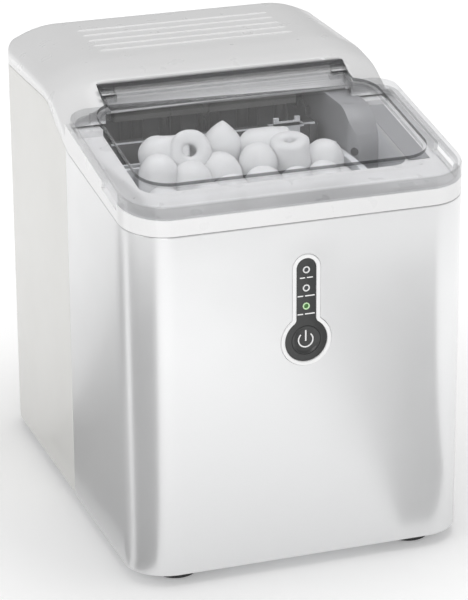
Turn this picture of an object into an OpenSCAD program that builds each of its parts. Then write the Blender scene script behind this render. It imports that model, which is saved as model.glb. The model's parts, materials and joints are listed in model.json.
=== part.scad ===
// Countertop bullet-ice maker with a hinged clear lid.
// Origin: bottom centre on the floor. +X to the user's right, +Y to the back, +Z up.

/* [Casing] */
// Width of the casing
body_w = 242; // [238:1:246]
// Depth of the casing, front face to rear face
body_d = 324; // [320:1:328]
// Height of the flat top of the rear dome
dome_z = 315.5; // [314:0.5:318]
// Gap between the floor and the casing
floor_gap = 8; // [7:0.5:9]
// Radius of the two front upright corners
front_r = 30; // [26:1:34]
// Radius of the two rear upright corners
rear_r = 28; // [24:1:32]
// Wall thickness of the casings
wall = 3; // [2.6:0.1:3.4]
// Height of the seam between front panel and top cover
seam_z = 252; // [250:1:254]
// Where the front panel meets the rear casing
split_y = -10.7; // [-14:0.1:-8]

/* [Lid] */
// Height of the lid's lower edge at the front
rim_z = 264; // [262:0.5:266]
// Slope of the lid, degrees
rim_tilt = 8.92; // [8.5:0.01:9.3]
// Height of the lid's flat border above its lower edge
lid_rise = 9.5; // [9:0.1:10]
// Height of the raised window above the border
window_rise = 2.5; // [2:0.1:3]
// Half the width of the raised window
window_hw = 103.5; // [101:0.5:105]
// Half the width of the hinge hood
hood_hw = 91; // [89:0.5:92]
// Thickness of the clear plastic
lid_t = 2.5; // [2:0.1:2.8]
// Hinge axis, distance behind the middle
hinge_y = 4; // [3:0.1:5]
// Hinge axis, height
hinge_z = 299.5; // [299:0.1:300]

/* [Ice chamber] */
// Half the width of the tub, outside
tub_hw = 98.5; // [97:0.5:99]
// Depth position of the ice tray's pivot
tray_y = 36; // [35:0.5:37]
// Height of the ice tray's pivot
tray_z = 262; // [261:0.5:263]
// Outer radius of the ice tray's trough
tray_r = 30; // [29:0.5:30.5]
// Left end of the ice tray
tray_x0 = -88; // [-89:0.5:-86]
// Right end of the ice tray
tray_x1 = 72; // [70:0.5:73]

/* [Control panel] */
// Height of the power button's centre
button_z = 167.8; // [165:0.1:170]
// Radius of the power button
button_r = 10.2; // [9.8:0.1:10.4]
// Radius of the surround's round end
surround_r = 17.9; // [17.5:0.1:18.5]
// Half the width of the surround's upper bar
bar_hw = 9.85; // [9.5:0.05:10.2]
// Height of the surround's top
bar_top_z = 229.1; // [226:0.1:231]
// Height of the lowest indicator
led_z = 192.2; // [191:0.1:194]
// Distance between indicators
led_pitch = 12.9; // [12:0.1:13]

/* [Cooling] */
// Compressor, sideways position
comp_x = 56; // [54:1:58]
// Compressor, depth position
comp_y = 118; // [117:1:119]
// Compressor pot radius
comp_r = 40; // [38:1:40]
// Fan centre, sideways position
fan_x = -54; // [-55:1:-53]
// Fan centre, height
fan_z = 66; // [65:1:67]
// Fan frame width
fan_w = 92; // [90:1:92]

/* [Hidden] */
$fn = 64;
hw = body_w / 2;
hd = body_d / 2;
slope = tan(rim_tilt);
seam_gap = 0.4;
trim_proud = 0.8;
far = 400;
dome_y = split_y + 0.2;
crease_drop = 12;
facet_w = 26;
facet_a = atan(crease_drop / facet_w);
pin_r = 2;
run_gap = 0.05;
trough_r = 10.3;
trough_wall = 2.6;
flange_drop = 8;
notch_y = -113;
notch_l = 34;
notch_h = 6;
tub_t = 2.5;
tub_front = -118;
tub_rear = 72.5;
tub_floor = 118;
basket_z = 178;
housing_top = 285;
basket_x0 = -90;
basket_x1 = 72;
basket_y0 = -104;
basket_y1 = -25;
opening_front = -108.5;
base_t = 3;
foot_x = 86;
foot_y = 137;
foot_r = 14.5;
tray_shaft_r = 4;
drain_y = 35;
drier_y = 87;
drain_z = 38;
gland_x = 80;
gland_z = 34;
gland_bore_r = 3.8;
// Half seam line of the casing seen from the side, as [depth, height]
seam_line = [[-hd - 20, seam_z], [-hd, seam_z], [-16, 268.5], [-4, 272.8], [14.6, 280.3],
    [32.9, 290.7], [44, 291.6], [105.5, 290], [hd + 20, 289]];
// Middle line of the dome's outside, from its front edge to the start of its rear bend
dome_front = [[-30, 285.8], [-5, 299], [10, 307], [15.5, 310.7], [22, 312.2], [43, 315.5]];
rear_bend_r = 20;
front_bosses = [[-111, -100], [111, -100], [-60, -153], [60, -153]];
side_boss = [111, 60];
back_bosses = [[-60, 153], [60, 153]];
all_bosses = concat(front_bosses, [[-side_boss.x, side_boss.y], side_boss], back_bosses);
back_hw = hw - rear_r - 0.2;
grille_half = 36;

// ---- outlines and half spaces ----

// Plan outline of the casing, moved in by i
module plan(i = 0) {
    w = hw - i;
    d = hd - i;
    rf = front_r - i;
    rr = rear_r - i;
    translate([-w, -d + rf]) square([2 * w, 2 * d - rf - rr]);
    translate([-w + rf, -d]) square([2 * (w - rf), rf + 1]);
    translate([-w + rr, d - rr - 1]) square([2 * (w - rr), rr + 1]);
    for (s = [-1, 1]) {
        translate([s * (w - rf), -d + rf]) circle(rf);
        translate([s * (w - rr), d - rr]) circle(rr);
    }
}

// Rectangle with round corners, from its lower left to its upper right corner
module round_rect(x0, y0, x1, y1, r) {
    translate([x0 + r, y0]) square([x1 - x0 - 2 * r, y1 - y0]);
    translate([x0, y0 + r]) square([x1 - x0, y1 - y0 - 2 * r]);
    for (x = [x0 + r, x1 - r]) for (y = [y0 + r, y1 - r]) translate([x, y]) circle(r);
}

// Block given by its lowest and highest corner
module block(a, b) {
    translate(a) cube(b - a);
}

// Side outline of [depth, height] points, extruded from x0 to x1
module side_prism(points, x0 = -far, x1 = far) {
    translate([x0, 0, 0]) rotate([90, 0, 90]) linear_extrude(x1 - x0) polygon(points);
}

// Front outline of x and z, extruded backwards from y
module front_prism(y, depth) {
    translate([0, y + depth, 0]) rotate([90, 0, 0]) linear_extrude(depth) children();
}

// Cylinder along X from x0 to x1, round a line at depth y and height z
module x_cyl(x0, x1, y, z, r) {
    translate([x0, y, z]) rotate([0, 90, 0]) cylinder(r = r, h = x1 - x0);
}

// Cylinder along Y from y0 to y1
module y_cyl(x, y0, y1, z, r) {
    translate([x, y1, z]) rotate([90, 0, 0]) cylinder(r = r, h = y1 - y0);
}

// Everything below the slanted plane that lies dz above the lid's lower edge
module below_rim(dz = 0) {
    translate([0, -hd, rim_z + dz]) rotate([rim_tilt, 0, 0])
        translate([-far / 2, -60, -far]) cube([far, 2 * far, far]);
}

// Everything above the same plane
module above_rim(dz = 0) {
    translate([0, -hd, rim_z + dz]) rotate([rim_tilt, 0, 0])
        translate([-far / 2, -60, 0]) cube([far, 2 * far, far]);
}

// Height of that plane at depth y
function rim_at(y, dz = 0) = rim_z + dz + slope * (y + hd);

module below_seam() {
    side_prism(concat(seam_line, [[hd + 20, -10], [-hd - 20, -10]]));
}

module above_seam() {
    translate([0, 0, seam_gap]) side_prism(concat(seam_line, [[hd + 20, far], [-hd - 20, far]]));
}

// Round pipe through a list of points, with round elbows
module pipe(points, r) {
    for (k = [0 : len(points) - 2]) {
        a = points[k];
        v = points[k + 1] - a;
        translate(a) rotate([0, acos(v.z / norm(v)), atan2(v.y, v.x)]) cylinder(r = r, h = norm(v));
    }
    for (k = [1 : 1 : len(points) - 2]) translate(points[k]) sphere(r = 1.03 * r);
}

// ---- casing ----

// Middle line of the dome, lowered by i, with its rear bend
function dome_line(i) = concat([for (p = dome_front) [p.x, p.y - i]], [for (a = [90 : -15 : 0])
    [hd - i - rear_bend_r * (1 - cos(a)), dome_z - i - rear_bend_r * (1 - sin(a))]]);

// Outline under that line, with its heights times shrink
module dome_prism(i, shrink = 1) {
    line = [for (p = dome_line(i)) [p.x, p.y * shrink]];
    polygon(concat(line, [[hd - i, -far], [dome_front[0].x, -far]]));
}

// Dome body moved in by i: middle ridge, two side facets and the plan outline
module dome_solid(i = 0) {
    intersection() {
        block([-far, dome_y + i, 200], [far, far, far]);
        translate([0, 0, 200]) linear_extrude(200) plan(i);
        dome_bar(i);
        dome_facet(i);
        mirror([1, 0, 0]) dome_facet(i);
    }
}

// Dome outline extruded sideways, closed far below
module dome_bar(i, shrink = 1) {
    translate([-2 * far, 0, 0]) rotate([90, 0, 90]) linear_extrude(4 * far) dome_prism(i, shrink);
}

// The same bar tipped about the ridge's right edge, so that its top is the right facet
module dome_facet(i) {
    translate([hw - facet_w, 0, 0]) rotate([0, facet_a, 0]) dome_bar(i, cos(facet_a));
}

// Part of the cover in front of the dome, moved in by i
module fore_solid(i = 0) {
    intersection() {
        translate([0, 0, 200]) linear_extrude(200) plan(i);
        block([-far, -far, 200], [far, dome_y + i + 0.1, far]);
        below_rim(-0.3 - i);
    }
}

module opening_outline(i = 0) {
    round_rect(-96 + i, opening_front + i, 96 - i, 40, 12 - i);
}

module top_cover() {
    color("whitesmoke") difference() {
        union() {
            difference() {
                intersection() {
                    union() {
                        fore_solid();
                        dome_solid();
                    }
                    above_seam();
                }
                fore_solid(wall);
                dome_solid(wall);
                cover_recess();
            }
            cover_ledge();
            cover_hinge_supports();
        }
        linear_extrude(far) opening_outline_front();
        x_cyl(-hood_hw - 0.5, hood_hw + 0.5, hinge_y, hinge_z, trough_r);
        block([-hood_hw - 0.5, dome_y - 1, 283], [hood_hw + 0.5, hinge_y, far]);
        for (s = [-1, 1]) x_cyl(s * 89 - 7, s * 89 + 7, hinge_y, hinge_z, pin_r);
        for (s = [-1, 1]) translate([s * 118, notch_y, rim_at(notch_y, -notch_h)]) rotate([rim_tilt, 0, 0])
            translate([-6, -notch_l / 2, 0]) cube([12, notch_l, notch_h + 4]);
    }
}

// Sunk tray round the opening, under the lid
module cover_recess() {
    intersection() {
        linear_extrude(far) plan(wall);
        block([-far, -far, 200], [far, dome_y - 0.1, far]);
        above_rim(-flange_drop);
    }
}

module opening_outline_front() {
    intersection() {
        opening_outline();
        translate([-96, -150]) square([192, 150 + dome_y - 0.1]);
    }
}

// Sunk ledge between the casing wall and the opening, with a pad beside each hinge
module cover_ledge() {
    difference() {
        intersection() {
            linear_extrude(far) plan(wall - 0.5);
            block([-far, -far, 200], [far, dome_y + 1, far]);
            below_rim(-flange_drop);
            above_rim(-flange_drop - wall);
        }
        linear_extrude(far) opening_outline();
    }
    for (s = [-1, 1]) intersection() {
        block([s * 105 - 9, -19, 262], [s * 105 + 9, dome_y + 1, 283]);
        above_rim(-flange_drop - 1);
    }
}

// Half pipe behind the lid's hinge, and the two solid ends that hold the pins
module cover_hinge_supports() {
    intersection() {
        difference() {
            x_cyl(-hood_hw - 9, hood_hw + 9, hinge_y, hinge_z, trough_r + trough_wall);
            x_cyl(-hood_hw - 0.5, hood_hw + 0.5, hinge_y, hinge_z, trough_r);
        }
        union() {
            dome_solid();
            block([-hood_hw, -4, 280], [hood_hw, 20, hinge_z - 2]);
        }
        block([-far, -4, 200], [far, 30, far]);
    }
}

module lid_outline(i = 0) {
    r = 17;
    y1 = dome_y - 0.5 - i;
    intersection() {
        plan(i);
        union() {
            translate([-hw, -hd]) square([body_w, y1 - r + hd]);
            translate([-hw + r, -hd]) square([body_w - 2 * r, y1 + hd]);
            for (s = [-1, 1]) translate([s * (hw - r), y1 - r]) circle(r - i);
        }
    }
}

// Lid body moved in by i: border, raised window and hinge hood
module lid_solid(i = 0) {
    intersection() {
        linear_extrude(far) lid_outline(i);
        below_rim(lid_rise - i);
    }
    intersection() {
        linear_extrude(far) round_rect(-window_hw + i, -136 + i, window_hw - i, dome_y - 0.5 - i, 22 - i);
        below_rim(lid_rise + window_rise - i);
    }
    window_z = lid_rise + window_rise - i;
    side_prism([[-40, rim_at(-40, window_z)], [-5, rim_at(-5, window_z)], [8.6 - i, 307.1 - i],
        [10.1 - i, 306.4 - i], [10.1 - i, 299], [2, 293], [-12, 289.5], [-40, 284]],
        -hood_hw + i, hood_hw - i);
}

module lid() {
    color("lightcyan", 0.4) difference() {
        union() {
            intersection() {
                difference() {
                    lid_solid();
                    lid_solid(lid_t);
                    lid_underside();
                }
                above_rim();
            }
            for (s = [-1, 1]) intersection() {
                x_cyl(s * 85.5 - 5.5, s * 85.5 + 5.5, hinge_y, hinge_z, 5.2);
                block([-far, hinge_y - 8, 290], [far, hinge_y + 8, 306]);
            }
        }
        for (s = [-1, 1]) x_cyl(s * 85.5 - 6, s * 85.5 + 6, hinge_y, hinge_z, pin_r + run_gap);
    }
}

// Opens the lid from below
module lid_underside() {
    intersection() {
        translate([0, 0, 200]) linear_extrude(200) lid_outline(lid_t);
        below_rim(lid_rise - lid_t);
    }
    side_prism([[-30, 280], [-30, rim_at(-30, 4)], [-11.5, rim_at(-11.5, 4)], [7.6, 301], [7.6, 280]],
        -hood_hw + lid_t, hood_hw - lid_t);
}

module lid_hinge_pins() {
    color("silver") for (s = [-1, 1]) x_cyl(s * 88 - 7.5, s * 88 + 7.5, hinge_y, hinge_z, pin_r);
}

module front_panel() {
    color("gainsboro") difference() {
        union() {
            intersection() {
                difference() {
                    translate([0, 0, floor_gap]) linear_extrude(far) plan();
                    linear_extrude(far) plan(wall);
                }
                below_seam();
                block([-far, -far, 0], [far, split_y, far]);
            }
            screw_bosses(front_bosses);
        }
        front_prism(-hd - 1, 10) panel_outline(-0.1);
        boss_holes(front_bosses);
    }
}

// Blocks on the inside of a casing that take the screws from below
module screw_bosses(places) {
    for (p = places) intersection() {
        block([p.x - 8, p.y - 7, floor_gap + base_t + 0.1], [p.x + 8, p.y + 7, 22]);
        linear_extrude(far) plan(wall - 0.5);
    }
}

module boss_holes(places) {
    for (p = places) translate([p.x, p.y, 0]) cylinder(r = 1.6, h = 20);
}

// Wall behind the front panel, all the way round the back
module rear_wall() {
    intersection() {
        difference() {
            translate([0, 0, floor_gap + 1]) linear_extrude(far) plan();
            linear_extrude(far) plan(wall);
        }
        below_seam();
        block([-far, split_y + seam_gap, 0], [far, far, far]);
    }
}

// One side of the casing with its rear corner: s is -1 for the left and 1 for the right
module side_casing(s) {
    place = [[s * side_boss.x, side_boss.y]];
    difference() {
        union() {
            intersection() {
                rear_wall();
                translate([s * (back_hw + seam_gap + far / 2), 0, 0])
                    cube([far, far, 2 * far], center = true);
            }
            screw_bosses(place);
        }
        boss_holes(place);
    }
}

module left_casing() {
    color("oldlace") side_casing(-1);
}

module right_casing() {
    color("oldlace") difference() {
        side_casing(1);
        x_cyl(hw - 10, hw + 1, drain_y, drain_z, 9.2);
    }
}

module back_panel() {
    hole = grille_half - 2;
    color("oldlace") difference() {
        union() {
            intersection() {
                rear_wall();
                block([-back_hw, 0, 0], [back_hw, far, far]);
            }
            screw_bosses(back_bosses);
        }
        block([fan_x - hole, hd - 10, fan_z - hole - 4], [fan_x + hole, hd + 1, fan_z + hole + 4]);
        y_cyl(gland_x, hd - 10, hd + 1, gland_z, 7);
        boss_holes(back_bosses);
    }
}

module rear_grille() {
    w = grille_half;
    h = grille_half + 4;
    color("gainsboro") difference() {
        union() {
            block([fan_x - w, hd, fan_z - h], [fan_x + w, hd + trim_proud, fan_z + h]);
            block([fan_x - w + 2.2, hd - wall, fan_z - h + 2.2],
                  [fan_x + w - 2.2, hd + 0.1, fan_z + h - 2.2]);
        }
        for (k = [-4 : 4]) translate([fan_x - w + 5, hd - 10, fan_z + 7.6 * k - 2])
            cube([2 * w - 10, 12, 4]);
    }
}

module base_pan() {
    color("darkgray") difference() {
        union() {
            translate([0, 0, floor_gap]) linear_extrude(base_t) plan(wall + 0.3);
            for (x = [-foot_x, foot_x]) for (y = [-foot_y, foot_y])
                translate([x, y, floor_gap]) cylinder(r = 7, h = 10);
        }
        for (p = all_bosses) translate([p.x, p.y, 0]) cylinder(r = 2.2, h = 20);
        for (x = [-foot_x, foot_x]) for (y = [-foot_y, foot_y])
            translate([x, y, 0]) cylinder(r = 1.8, h = 20);
        for (k = [0 : 8]) block([-96 + 9 * k, 10, 0], [-92 + 9 * k, 60, 20]);
    }
}

module rubber_feet() {
    color("dimgray") for (x = [-foot_x, foot_x]) for (y = [-foot_y, foot_y])
        translate([x, y, 0]) rotate_extrude()
            polygon([[4.4, 0], [foot_r - 1, 0], [foot_r, 1], [foot_r, floor_gap], [2.2, floor_gap],
                [2.2, 4], [4.4, 4]]);
}

module foot_screws() {
    color("silver") for (x = [-foot_x, foot_x]) for (y = [-foot_y, foot_y])
        translate([x, y, 0]) screw(4, 1.8, 2.2, 12);
}

// Pan-head screw: head below z, shank above it
module screw(z, shank_r, head_h, length) {
    difference() {
        union() {
            translate([0, 0, z - head_h]) cylinder(r = 2.1 * shank_r, h = head_h);
            translate([0, 0, z - 0.1]) cylinder(r = shank_r, h = length);
        }
        for (a = [0, 90]) rotate(a) translate([-0.4, -2, z - head_h - 1]) cube([0.8, 4, 2]);
    }
}

module casing_screws() {
    color("silver") for (p = all_bosses)
        translate([p.x, p.y, 0]) screw(floor_gap, 1.6, 2, 11.8);
}

module cord_gland() {
    color("dimgray") translate([gland_x, hd + trim_proud, gland_z]) rotate([90, 0, 0])
        rotate_extrude() polygon([[gland_bore_r, 0], [8, 0], [9, trim_proud], [7, trim_proud],
            [7, 9], [gland_bore_r, 9]]);
}

// ---- control panel ----

// Upright bar with a round lower end, moved in by i
module panel_outline(i = 0) {
    w = bar_hw - i;
    top = bar_top_z - bar_hw;
    translate([0, button_z]) circle(surround_r - i);
    translate([-w, button_z]) square([2 * w, top - button_z]);
    translate([0, top]) circle(w);
}

module panel_surround() {
    color("white") front_prism(-hd - trim_proud, wall + trim_proud) difference() {
        panel_outline();
        panel_outline(2.75);
    }
}

module panel_fascia() {
    color("dimgray") difference() {
        front_prism(-hd + 0.2, wall - 0.2) panel_outline(2.85);
        y_cyl(0, -hd - 1, -hd + 5, button_z, button_r + 0.3);
        for (k = [0 : 2]) y_cyl(0, -hd - 1, -hd + 5, led_z + led_pitch * k, 2.6);
    }
}

module indicator_bezels() {
    color("white") for (k = [0 : 2]) difference() {
        y_cyl(0, -hd - 0.2, -hd + wall, led_z + led_pitch * k, 2.5);
        y_cyl(0, -hd - 1, -hd + 5, led_z + led_pitch * k, 1.5);
    }
}

module indicator_lenses() {
    color("palegreen") for (k = [0 : 2]) y_cyl(0, -hd, -hd + 6.5, led_z + led_pitch * k, 1.45);
}

module power_button() {
    color("darkslategray") {
        y_cyl(0, -hd + 0.1, -hd + 4, button_z, button_r);
        y_cyl(0, -hd + wall + 0.4, -hd + wall + 1.6, button_z, button_r + 1.6);
    }
}

module power_symbol() {
    color("white") front_prism(-hd - 0.25, 0.35) {
        difference() {
            translate([0, button_z]) circle(5.6);
            translate([0, button_z]) circle(4.6);
            translate([-1.9, button_z]) square([3.8, 8]);
        }
        translate([-0.55, button_z + 1]) square([1.1, 6]);
    }
}

module display_board() {
    color("seagreen") block([-11, -hd + 8.6, 148], [11, -hd + 10.2, 230]);
    color("white") for (z = [185, 223.5]) y_cyl(0, -hd + wall, -hd + 8.7, z, 2);
}

module button_switch() {
    color("black") {
        block([-3, -hd + 6.4, button_z - 3], [3, -hd + 8.6, button_z + 3]);
        y_cyl(0, -hd + 5.7, -hd + 6.5, button_z, 1.7);
    }
}

// ---- ice chamber ----

module tub_outline(i = 0) {
    round_rect(-tub_hw + i, tub_front + i, tub_hw - i, tub_rear - i, 14 - i);
}

module inner_tub() {
    color("white") difference() {
        intersection() {
            union() {
                translate([0, 0, tub_floor]) linear_extrude(far) tub_outline();
                intersection() {
                    linear_extrude(far) round_rect(-108, tub_front - 8, 108, tub_rear, 14);
                    above_rim(-flange_drop - wall - tub_t);
                }
            }
            below_rim(-flange_drop - wall - 0.1);
        }
        translate([0, 0, tub_floor + tub_t]) linear_extrude(far) tub_outline(tub_t);
        translate([80, 30, 0]) cylinder(r = 7, h = 150);
        translate([-60, 40, 0]) cylinder(r = 5, h = 150);
    }
    color("white") for (y = [-92, -42]) {
        block([-96.1, y - 10, tub_floor + 1], [-82, y + 10, basket_z - 0.3]);
        block([61, y - 10, tub_floor + 1], [67, y + 10, basket_z - 0.3]);
    }
}

module tub_screws() {
    color("silver") for (s = [-1, 1]) for (y = [-110, -35])
        translate([s * 103, y, 0]) screw(rim_at(y, -flange_drop - wall - tub_t - 0.5), 1.5, 2, 6);
}

// Dark ribbed sheet behind the ice tray
module rear_shield() {
    y = tub_rear - tub_t;
    color("dimgray") {
        block([-84, y - 2, 236], [84, y, 288]);
        for (k = [0 : 11]) translate([-80 + 14 * k, y - 4, 237]) cube([3, 2.1, 50]);
    }
}

module foam_insulation() {
    t = 10;
    color("lightyellow") difference() {
        translate([0, 0, tub_floor - t]) linear_extrude(244 - tub_floor + t)
            round_rect(-tub_hw - t, tub_front - t, tub_hw + t, tub_rear + 4, 15);
        translate([0, 0, tub_floor - 0.1]) linear_extrude(far) tub_outline(-0.1);
        translate([80, 30, 0]) cylinder(r = 9.5, h = 150);
        translate([-60, 40, 0]) cylinder(r = 7, h = 150);
    }
}

module ice_basket() {
    t = 2;
    top = 255;
    color("whitesmoke") difference() {
        union() {
            translate([0, 0, basket_z]) linear_extrude(top - basket_z)
                round_rect(basket_x0, basket_y0, basket_x1, basket_y1, 12);
            translate([0, 0, top - t]) linear_extrude(t)
                round_rect(basket_x0 - 4, basket_y0 - 2, basket_x1 + 3.5, basket_y1 + 1, 14);
        }
        translate([0, 0, basket_z + t]) linear_extrude(far)
            round_rect(basket_x0 + t, basket_y0 + t, basket_x1 - t, basket_y1 - t, 10);
        for (k = [0 : 7]) translate([basket_x0 + 15 + 18 * k, basket_y0 + 14, basket_z - 1]) cube([6, 52, 6]);
    }
}

// Slotted quarter bowl under the tray's front half, where the shovel sweeps the ice forward
module ice_chute() {
    r = 57.5;
    t = 2.2;
    x0 = 0.1 - tub_hw + tub_t;
    x1 = 75.8;
    color("ghostwhite") difference() {
        union() {
            difference() {
                intersection() {
                    x_cyl(x0, x1, tray_y, tray_z, r);
                    block([x0, tray_y - 60, tray_z - 60], [x1, tray_y, tray_z - 6]);
                }
                x_cyl(x0 - 1, x1 + 1, tray_y, tray_z, r - t);
            }
            block([x0, tray_y - 1, tray_z - r], [x1, tub_rear - tub_t - 12, tray_z - r + t]);
        }
        for (k = [0 : 14]) translate([x0 + 6 + 11 * k, tray_y - 45, tray_z - 70]) cube([5, 64, 40]);
    }
}

module water_tray() {
    t = 2;
    color("lightgray") {
        intersection() {
            difference() {
                x_cyl(tray_x0, tray_x1, tray_y, tray_z, tray_r);
                x_cyl(tray_x0 + t, tray_x1 - t, tray_y, tray_z, tray_r - t);
            }
            block([-far, -far, 0], [far, far, tray_z]);
        }
        x_cyl(tray_x0, tray_x0 + t, tray_y, tray_z, 9);
        x_cyl(tray_x1 - t, tray_x1, tray_y, tray_z, 9);
        x_cyl(tray_x0 - 7.6, tray_x0 + t, tray_y, tray_z, tray_shaft_r);
        x_cyl(tray_x1 - t, 90, tray_y, tray_z, tray_shaft_r);
    }
}

// Edge strip on the tray with a pronged lug, and the comb below it that sweeps the ice up the chute
module ice_shovel() {
    y1 = tray_y - tray_r;
    comb_z = tray_z - 22;
    t = 2.4;
    color("white") {
        block([tray_x0 + 4, y1 - 3, tray_z], [tray_x1 - 4, y1 + 3, tray_z + t]);
        block([tray_x0 + 4, y1 - 4, comb_z], [tray_x1 - 4, y1, comb_z + t]);
        for (x = [tray_x0 + 4, -44, -2, tray_x1 - 8]) block([x, y1 - 4, comb_z], [x + 4, y1 - 1, tray_z + t]);
        for (k = [0 : 12]) translate([tray_x0 + 4 + 12.2 * k, y1 - 18, comb_z]) cube([5, 14.1, t]);
        block([37, y1 - 3, tray_z - 5], [57, y1 - 1, tray_z + 5]);
        for (x = [37, 53]) block([x, y1 - 3, tray_z + 4.9], [x + 4, y1 - 1, tray_z + 8]);
    }
}

module tray_bush() {
    color("ivory") difference() {
        x_cyl(tub_t - tub_hw, tray_x0 - 1, tray_y, tray_z, 7.5);
        x_cyl(-tub_hw, tray_x0, tray_y, tray_z, tray_shaft_r + run_gap);
    }
}

module motor_housing() {
    x0 = 76;
    x1 = tub_hw - tub_t - 0.1;
    r = 10;
    color("white") difference() {
        intersection() {
            translate([0, 0, 200]) linear_extrude(housing_top - 200) housing_outline(x0, x1, r, 0);
            housing_side(0);
        }
        intersection() {
            translate([0, 0, 202]) linear_extrude(housing_top - 204) housing_outline(x0, x1 + 2, r, 2);
            housing_side(2);
        }
        x_cyl(x0 - 1, x0 + 4, tray_y, tray_z, tray_shaft_r + 0.4);
        translate([x0 + r, -50 + r, 256]) rotate([0, 0, 225]) rotate([0, 90, 0]) cylinder(r = 3, h = 20);
    }
}

// Side outline of the housing, moved in by i: upright front, curved over at the top
module housing_side(i) {
    r = 26;
    x_cyl(60, 110, -50 + r, housing_top - r, r - i);
    block([60, -50 + i, 190], [110, 60, housing_top - r]);
    block([60, -50 + r, 190], [110, 60, housing_top - i]);
}

module housing_outline(x0, x1, r, i) {
    translate([x0 + r, -50 + i]) square([x1 - x0 - r - i, 100 - 2 * i]);
    translate([x0 + i, -50 + r]) square([x1 - x0 - 2 * i, 100 - r - i]);
    translate([x0 + r, -50 + r]) circle(r - i);
}

module gear_motor() {
    color("silver") difference() {
        union() {
            x_cyl(80, 94.5, tray_y - 12, tray_z - 12, 22);
            x_cyl(79, 80.1, tray_y, tray_z, 7);
        }
        x_cyl(78, 91, tray_y, tray_z, tray_shaft_r + run_gap);
    }
}

module ice_sensor() {
    color("black") translate([86, -40, 256]) rotate([0, 0, 225]) rotate([0, 90, 0])
        translate([0, 0, 6]) cylinder(r = 2.9, h = 4.4);
}

module level_sensor() {
    color("black") block([-94, 50, 150], [-88, 62, 166]);
    color("black") block([-96, 53, 152], [-93.9, 59, 164]);
}

module evaporator() {
    color("silver") {
        block([-76, tray_y - 16, tray_z + 12.5], [60, tray_y + 16, tray_z + 21]);
        for (k = [0 : 4]) finger(-66 + 29 * k, tray_y - 10);
        for (k = [0 : 3]) finger(-51.5 + 29 * k, tray_y + 10);
        for (x = [-62, -46]) translate([x, tray_y - 10, tray_z + 20]) cylinder(r = 3, h = 14);
    }
}

// Cold finger that one hollow piece of ice freezes on
module finger(x, y) {
    translate([x, y, tray_z - 16]) cylinder(r = 4.2, h = 29);
    translate([x, y, tray_z - 16]) sphere(r = 4.2);
}

module evaporator_bracket() {
    z = tray_z + 32;
    y0 = tray_y - 16;
    y1 = tray_y + 8;
    leg_z = rim_at(y1, -flange_drop - wall);
    color("silver") {
        difference() {
            block([-tub_hw, y0, z], [92, y1, z + 2]);
            for (x = [-62, -46]) translate([x, tray_y - 10, z - 5]) cylinder(r = 3.6, h = 20);
        }
        block([-tub_hw, y0, leg_z], [-tub_hw + 2.4, y1, z + 0.1]);
        block([80, y0, housing_top], [92, y1, z + 0.1]);
        for (x = [-72, 52]) translate([x, tray_y - 10, tray_z + 21]) cylinder(r = 2.5, h = 11.5);
    }
}

module suction_tube() {
    z = tray_z + 38;
    x = comp_x - 20;
    y = comp_y - 18;
    color("peru") pipe([[-46, tray_y - 10, tray_z + 34.1], [-46, tray_y - 10, z], [-46, y, z], [x, y, z],
        [x, y, 158.1]], 3);
}

module liquid_tube() {
    z = tray_z + 38;
    color("peru") pipe([[-62, tray_y - 10, tray_z + 34.1], [-62, tray_y - 10, z], [-62, drier_y, z],
        [-62, drier_y, 214.1]], 2.2);
}

module filter_drier() {
    color("peru") translate([-62, drier_y, 160]) rotate_extrude()
        polygon([[0, 0], [2.4, 0], [2.4, 6], [8, 12], [8, 42], [2.4, 48], [2.4, 54], [0, 54]]);
}

module discharge_tube() {
    z = 176;
    color("peru") pipe([[comp_x + 10, comp_y, 160.1], [comp_x + 10, comp_y, z], [-30, comp_y, z],
        [-30, 143, z], [-30, 143, 126.6]], 2.6);
    color("peru") pipe([[-62, 143, 126.6], [-62, 143, 140], [-62, drier_y, 140], [-62, drier_y, 159.9]], 2.6);
}

module hot_gas_valve() {
    color("dimgray") difference() {
        union() {
            block([-19, comp_y - 11, 164], [5, comp_y + 11, 188]);
            translate([-7, comp_y, 187.9]) cylinder(r = 8, h = 18);
        }
        x_cyl(-20, 6, comp_y, 176, 2.6 + run_gap);
    }
}

module compressor() {
    profile = [for (a = [0 : 10 : 90]) [comp_r - 22 + 22 * cos(a), 130 + 22 * sin(a)]];
    color("black") {
        translate([comp_x, comp_y, 0]) rotate_extrude()
            polygon(concat([[0, 24], [comp_r - 10, 24], [comp_r, 34]], profile, [[0, 152]]));
        for (a = [0, 135, 225]) translate([comp_x, comp_y, 23]) rotate(a)
            translate([20, -10, 0]) cube([comp_r - 16, 20, 3]);
        translate([comp_x + 10, comp_y, 140]) cylinder(r = 4, h = 20);
        translate([comp_x - 20, comp_y - 18, 130]) cylinder(r = 4.2, h = 28);
    }
}

module compressor_grommets() {
    color("dimgray") for (a = [0, 135, 225]) translate([comp_x, comp_y, floor_gap + base_t]) rotate(a)
        translate([comp_r - 5, 0, 0]) cylinder(r = 7, h = 12);
}

module relay_cover() {
    color("black") difference() {
        block([comp_x - 18, comp_y - 62, 60], [comp_x + 18, comp_y - 34, 98]);
        translate([comp_x, comp_y, 0]) cylinder(r = comp_r + 0.1, h = 160);
    }
}

module condenser() {
    z0 = 24;
    z1 = 122;
    color("silver") {
        for (k = [0 : 18]) block([-107 + 5.7 * k, 134, z0], [-106.3 + 5.7 * k, 152, z1]);
        for (k = [0 : 5]) x_cyl(-110, 0, 143, z0 + 8 + 16 * k, 3.2);
        for (x = [-62, -30]) translate([x, 143, z1 - 12]) cylinder(r = 3, h = 16.5);
        for (x = [-109, -1.8]) block([x, 134, floor_gap + base_t + 0.1], [x + 1.2, 152, z1]);
    }
}

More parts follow.
